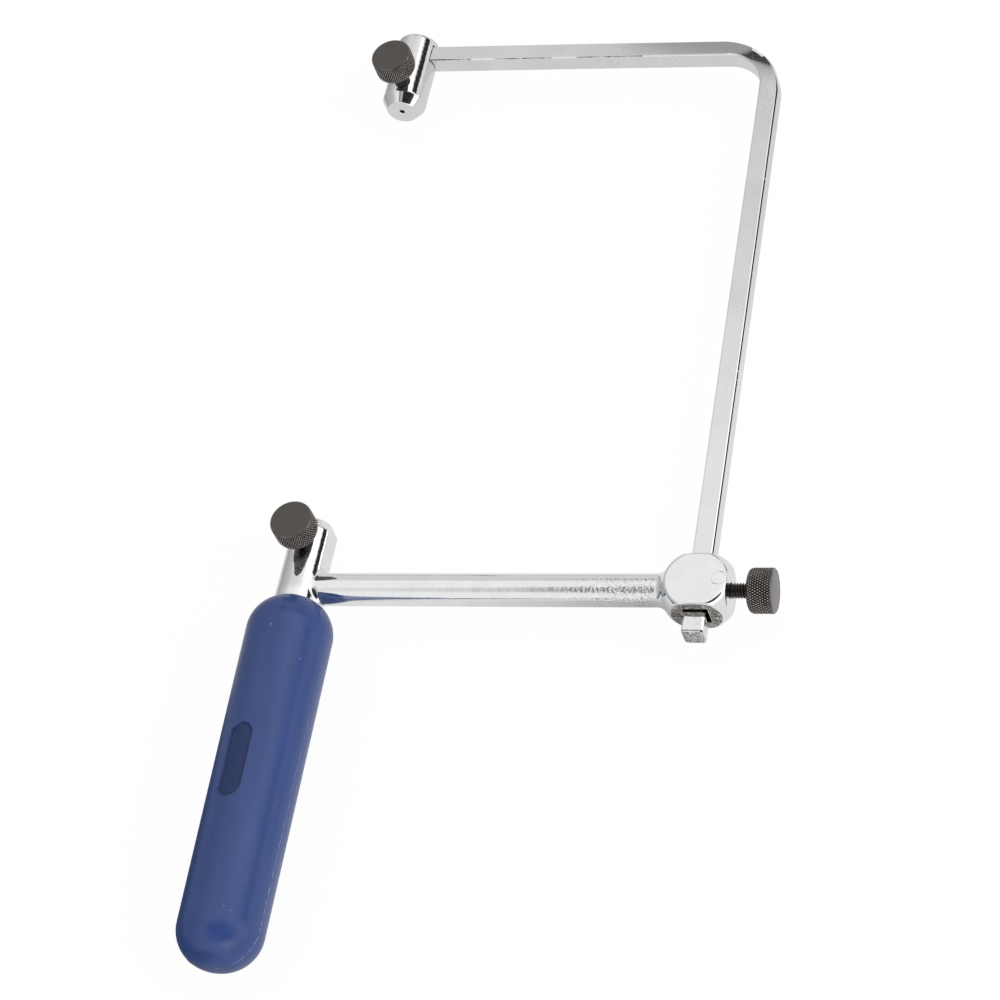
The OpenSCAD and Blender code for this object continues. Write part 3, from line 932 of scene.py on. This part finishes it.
def handle_path():
    """Radius, height and outward direction along the handle's side, from the post to the lower end."""
    out = []
    low_y = HANDLE_TOP_Y - HANDLE_L
    a0 = math.asin((HANDLE_MOUTH_R - (HANDLE_TOP_R - HANDLE_ROUND)) / HANDLE_ROUND)
    for a in np.linspace(a0, math.pi / 2, 44):
        out.append((HANDLE_TOP_R - HANDLE_ROUND + HANDLE_ROUND * math.sin(a),
                    HANDLE_TOP_Y - HANDLE_ROUND + HANDLE_ROUND * math.cos(a), math.sin(a), math.cos(a)))
    y0, y1 = HANDLE_TOP_Y - HANDLE_ROUND, low_y + HANDLE_ROUND
    edge_a, edge_b = POCKET_Y + POCKET_L / 2 + 1.0, POCKET_Y - POCKET_L / 2 - 1.0
    ys = [y for y in np.arange(y0 - 0.9, edge_a, -0.9)]
    ys += [y for y in np.arange(edge_a, edge_b, -0.13)]
    ys += [y for y in np.arange(edge_b, y1, -0.9)]
    for y in ys:
        s = (y0 - y) / (y0 - y1)
        out.append((HANDLE_TOP_R + (HANDLE_LOW_R - HANDLE_TOP_R) * s, y, 1.0, 0.0))
    for a in np.linspace(0, math.pi / 2, 60):
        out.append((HANDLE_LOW_R - HANDLE_ROUND + HANDLE_ROUND * math.cos(a),
                    low_y + HANDLE_ROUND - HANDLE_ROUND * math.sin(a), math.cos(a), -math.sin(a)))
    for r in (0.6, 0.3, 0.02):
        out.append((r, low_y, 0.0, -1.0))
    return np.array(out)


def handle_angles():
    """Angles round the handle from the middle of the pocket, finer at the pocket and at the mould line."""
    half = POCKET_HALF_W / MESH_R
    fine = np.arange(-half, half, POCKET_GRID / MESH_R)
    line = FLASH_GRID / MESH_R * np.array([-14, -10, -7, -5, -4, -3, -2, -1, 0, 1, 2, 3, 4, 5, 7, 10, 14])
    side, other = np.pi / 2 + MOULD_TURN, 1.5 * np.pi + MOULD_TURN
    a = list(fine)
    a += list(np.linspace(half, side + line[0], 24)[:-1])
    a += list(side + line)
    a += list(np.linspace(side + line[-1], other + line[0], 52)[1:-1])
    a += list(other + line)
    a += list(np.linspace(other + line[-1], 2 * np.pi - half, 24)[1:-1])
    return np.array(a)


def handle():
    shell = Shell()
    path = handle_path()
    th = handle_angles()
    cols, rows = len(th), len(path)
    r = path[:, 0][:, None] * np.ones(cols)
    y = path[:, 1][:, None] * np.ones(cols)
    s, c = np.sin(th)[None], np.cos(th)[None]
    x, z = r * s, r * c
    # Pocket: a rounded slot seen along its own direction
    run = (POCKET_L - POCKET_W) / 2
    dy = np.maximum(np.abs(y - POCKET_Y) - run, 0.0)
    d = np.sqrt(x * x + dy * dy) - POCKET_W / 2
    t = np.clip((0.05 - d) / POCKET_EDGE_W, 0.0, 1.0)
    down = POCKET_DEPTH * (t * t * (3 - 2 * t)) * (z > 0)
    lip = LIP_RISE * np.exp(-((d - 0.25) / 0.22) ** 2) * (z > 0)
    # Mould line: a low flash on both sides and over the lower end
    mould = r * np.cos(th - MOULD_TURN)[None]
    flash = FLASH_RISE * np.exp(-(mould / FLASH_W) ** 2)
    wobble = 0.6 + 0.4 * np.sin(y * 1.9) * np.sin(y * 0.53 + 1.0)
    lift = lip + flash * wobble - down
    r2 = r + lift * path[:, 2][:, None]
    y2 = y + lift * path[:, 3][:, None]
    ang = th[None] + POCKET_TURN
    x2 = r2 * np.sin(ang) + HANDLE_LEAN * (y2 - HANDLE_PIVOT_Y)
    pts = np.stack([x2, y2, r2 * np.cos(ang)], 2).reshape(-1, 3)
    faces = [f[::-1] for f in tube_rows(rows, cols)]
    floor = (t[:-1] > 0.9) & (z[:-1] > 0)
    # The pocket's steep walls take the darker blue of the painted shade
    steep = (t[:-1] > 0.2) & (t[:-1] <= 0.9) & (z[:-1] > 0)
    ridge = (np.abs(mould[:-1]) < 0.10) & (flash[:-1] * wobble[:-1] > 0.035) & (r[:-1] > 0.7)
    ridge &= y[:-1] < FLASH_FROM_Y
    shell.add(pts, faces, slot=(floor * 1 + ridge * (2 + 2 * (y[:-1] < FLASH_END_Y)) + steep * 3).ravel())
    return shell


handle().build("handle_moulded", "frame", "handle_plastic", [BLUE, POCKET, FLASH, POCKET_WALL_SHADE, FLASH_END], "handle")


# The tent as the polished parts show it: the opening for the camera with a halo, a seam, two dark places
# above the far end, and three bright places
OPENING = Vector((0.49, -0.44, 0.752)).normalized()
HALO = Vector((0.22, -0.50, 0.84)).normalized()
SEAM = Vector((-0.0832, 0.6179, -0.7819)).normalized()
SHADE = Vector((-0.15, 0.765, 0.625)).normalized()
PANEL = Vector((0.92, -0.36, 0.15)).normalized()
GLOW = Vector((0.53, -0.815, 0.233)).normalized()
LAMP = Vector((0.97, 0.24, 0.05)).normalized()


def studio_world():
    w = bpy.data.worlds.new("studio")
    bpy.context.scene.world = w
    w.use_nodes = True
    t = w.node_tree
    t.nodes.clear()
    out = node(t, "ShaderNodeOutputWorld")
    bg = node(t, "ShaderNodeBackground")
    bg.inputs["Color"].default_value = (1, 1, 1, 1)
    c = node(t, "ShaderNodeTexCoord")
    axes = node(t, "ShaderNodeSeparateXYZ")
    t.links.new(c.outputs["Generated"], axes.inputs[0])
    x, y, z = axes.outputs

    def dot(direction):
        n = node(t, "ShaderNodeVectorMath", operation="DOT_PRODUCT")
        t.links.new(c.outputs["Generated"], n.inputs[0])
        n.inputs[1].default_value = direction
        return n.outputs["Value"]

    def times(a, b):
        return math_node(t, "MULTIPLY", a, b)

    def darker(value, share):
        return times(value, math_node(t, "SUBTRACT", 1.0, share))

    # The opening and its halo
    halo = dot(HALO)
    level = times(span(t, dot(OPENING), 0.882, 0.894, 1.0, 0.05), span(t, halo, 0.80, 0.86, 1.0, 0.8))
    level = times(level, span(t, halo, 0.868, 0.892, 1.0, 0.6))
    # The seam, on the right alone
    off_seam = dot(SEAM)
    seam = times(span(t, math_node(t, "ABSOLUTE", off_seam), 0.098, 0.128, 1.0, 0.0),
                 span(t, x, 0.15, 0.35, 0.0, 1.0))
    level = darker(level, times(seam, 0.97))
    # A bright strip beside the seam
    wide = times(span(t, off_seam, -0.42, -0.36, 0.0, 1.0), span(t, y, 0.57, 0.62, 1.0, 0.0))
    beside = math_node(t, "MAXIMUM", wide, span(t, off_seam, -0.25, -0.22, 0.0, 1.0))
    beside = times(beside, span(t, off_seam, -0.17, -0.135, 1.0, 0.0))
    beside = times(times(beside, span(t, x, 0.30, 0.40, 0.0, 1.0)), 0.4)
    level = times(level, math_node(t, "ADD", 1.0, beside))
    # The halo is darker where the arm shows it near the boss
    deep = times(span(t, halo, 0.79, 0.82, 0.0, 0.5), span(t, x, -0.315, -0.25, 0.0, 1.0))
    deep = times(deep, times(span(t, x, -0.20, -0.12, 1.0, 0.0), span(t, y, -0.68, -0.60, 0.0, 1.0)))
    level = darker(level, deep)
    # A soft dark place and a crisp one, which the bar shows near its bend
    shaded = times(span(t, dot(SHADE), 0.980, 0.9976, 0.0, 0.47), span(t, x, -0.275, -0.235, 0.35, 1.0))
    level = darker(level, shaded)
    slant = math_node(t, "SUBTRACT", x, times(y, 1.226))
    spot = times(span(t, y, 0.690, 0.6945, 0.0, 0.86), span(t, slant, -1.060, -1.046, 0.0, 1.0))
    spot = times(spot, times(span(t, x, -0.06, -0.02, 1.0, 0.0), span(t, y, 0.78, 0.85, 1.0, 0.0)))
    level = darker(level, spot)
    # Bright places
    level = times(level, span(t, dot(PANEL), 0.93, 0.975, 1.0, 1.4))
    level = times(level, span(t, dot(GLOW), 0.95, 0.985, 1.0, 2.0))
    level = times(level, span(t, dot(LAMP), 0.955, 0.985, 1.0, 3.0))
    # Slow changes from end to end and from side to side
    level = times(level, span(t, y, 0.50, 0.64, 1.0, 0.76))
    level = times(level, span(t, x, -0.95, -0.35, 0.5, 1.0))
    level = times(level, span(t, x, -0.30, 0.40, 0.91, 1.08))
    level = times(level, span(t, x, 0.6, 0.9, 1.0, 0.75))
    # The camera sees plain white
    path = node(t, "ShaderNodeLightPath")
    shade = node(t, "ShaderNodeMix", data_type="FLOAT")
    t.links.new(path.outputs["Is Camera Ray"], shade.inputs[0])
    t.links.new(level, shade.inputs[2])
    shade.inputs[3].default_value = 1.0
    t.links.new(shade.outputs[0], bg.inputs["Strength"])
    t.links.new(bg.outputs[0], out.inputs["Surface"])


# Stage

FLOOR_Z = -0.0116
FLOOR_HALF = 3.0


def plain_floor():
    mesh = bpy.data.meshes.new("floor")
    z, s = FLOOR_Z, FLOOR_HALF
    mesh.from_pydata([(-s, -s, z), (s, -s, z), (s, s, z), (-s, s, z)], [], [(0, 1, 2, 3)])
    obj = bpy.data.objects.new("floor", mesh)
    bpy.context.scene.collection.objects.link(obj)
    m = bpy.data.materials.new("pale_floor")
    m.use_nodes = True
    t = m.node_tree
    t.nodes.clear()

    def times(a, b):
        return math_node(t, "MULTIPLY", a, b)

    def rest_of(value):
        return math_node(t, "SUBTRACT", 1.0, value)

    out = node(t, "ShaderNodeOutputMaterial")
    diff = node(t, "ShaderNodeBsdfDiffuse")
    diff.inputs["Color"].default_value = (0.95, 0.95, 0.95, 1)
    glow = node(t, "ShaderNodeEmission")
    glow.inputs["Color"].default_value = (1, 1, 1, 1)
    place_node = node(t, "ShaderNodeNewGeometry")
    axes = node(t, "ShaderNodeSeparateXYZ")
    t.links.new(place_node.outputs["Position"], axes.inputs[0])
    x, y = axes.outputs[0], axes.outputs[1]
    # What the polished parts show of the floor: darker to the left, less so beside the post than beside the handle
    at_post = span(t, y, -0.055, -0.025, 0.0, 1.0)
    left = math_node(t, "ADD", 0.05, times(at_post, 0.33))
    shift = times(rest_of(at_post), 0.035)
    lit = span(t, math_node(t, "SUBTRACT", x, shift), -0.065, -0.012, 0.0, 1.0)
    mirrored = math_node(t, "ADD", times(lit, 0.8), times(rest_of(lit), left))
    # A little darker at the far end, and a painted shadow below the arm towards the boss
    mirrored = times(mirrored, span(t, y, 0.05, 0.12, 1.0, 0.87))
    # Painted shadow of the arm and boss on the floor, as the polished parts show it
    arm_shadow_under = times(span(t, x, 0.02, 0.11, 0.0, 0.5), span(t, x, 0.100, 0.112, 1.0, 0.0))
    arm_shadow_under = times(arm_shadow_under, times(span(t, y, -0.10, -0.07, 0.0, 1.0), span(t, y, -0.020, -0.012, 1.0, 0.0)))
    mirrored = times(mirrored, rest_of(arm_shadow_under))
    # The camera sees it white
    path = node(t, "ShaderNodeLightPath")
    strength = node(t, "ShaderNodeMix", data_type="FLOAT")
    t.links.new(path.outputs["Is Camera Ray"], strength.inputs[0])
    t.links.new(mirrored, strength.inputs[2])
    strength.inputs[3].default_value = 1.01
    t.links.new(strength.outputs[0], glow.inputs["Strength"])
    seen = math_node(t, "MAXIMUM", path.outputs["Is Camera Ray"], path.outputs["Is Glossy Ray"])
    mix = node(t, "ShaderNodeMixShader")
    t.links.new(times(seen, 0.95), mix.inputs[0])
    t.links.new(diff.outputs[0], mix.inputs[1])
    t.links.new(glow.outputs[0], mix.inputs[2])
    t.links.new(mix.outputs[0], out.inputs["Surface"])
    mesh.materials.append(m)


plain_floor()
studio_world()


def soft_light(name, place_m, aim, size, power):
    light = bpy.data.lights.new(name, "AREA")
    light.shape = "RECTANGLE"
    light.size, light.size_y = size
    light.energy = power
    obj = bpy.data.objects.new(name, light)
    bpy.context.scene.collection.objects.link(obj)
    obj.location = place_m
    direction = Vector(aim) - Vector(place_m)
    obj.rotation_euler = direction.to_track_quat("-Z", "Y").to_euler()
    obj.visible_glossy = False
    return obj


soft_light("key_right", (0.85, -0.25, 0.70), (0.05, 0.0, 0.0), (0.6, 0.6), 3.2)
soft_light("top_fill", (0.0, 0.1, 1.1), (0.05, 0.0, 0.0), (0.9, 0.9), 0.6)


# Camera, fitted to the photo: focal length in widths of the sensor, directions, and place in millimetres

SENSOR_W = 36.0
FOCAL = 2.9939211
CAMERA_RIGHT = Vector((0.95453177, 0.15494961, -0.25467573))
CAMERA_UP = Vector((0.00659204, 0.84312344, 0.53767965))
CAMERA_BACK = Vector((0.29803633, -0.51491114, 0.80376668))
CAMERA_AT = Vector((280.03065, -389.73903, 620.45274))


def photo_camera():
    cam = bpy.data.cameras.new("photo_camera")
    obj = bpy.data.objects.new("photo_camera", cam)
    bpy.context.scene.collection.objects.link(obj)
    cam.sensor_fit = "HORIZONTAL"
    cam.sensor_width = SENSOR_W
    cam.lens = SENSOR_W * FOCAL
    cam.clip_start = 0.01
    cam.clip_end = 50.0
    right, up, back = CAMERA_RIGHT, CAMERA_UP, CAMERA_BACK
    place_m = CAMERA_AT * MM
    obj.matrix_world = Matrix((
        (right.x, up.x, back.x, place_m.x),
        (right.y, up.y, back.y, place_m.y),
        (right.z, up.z, back.z, place_m.z),
        (0, 0, 0, 1),
    ))
    bpy.context.scene.camera = obj


photo_camera()
bpy.context.scene.view_settings.view_transform = "Standard"
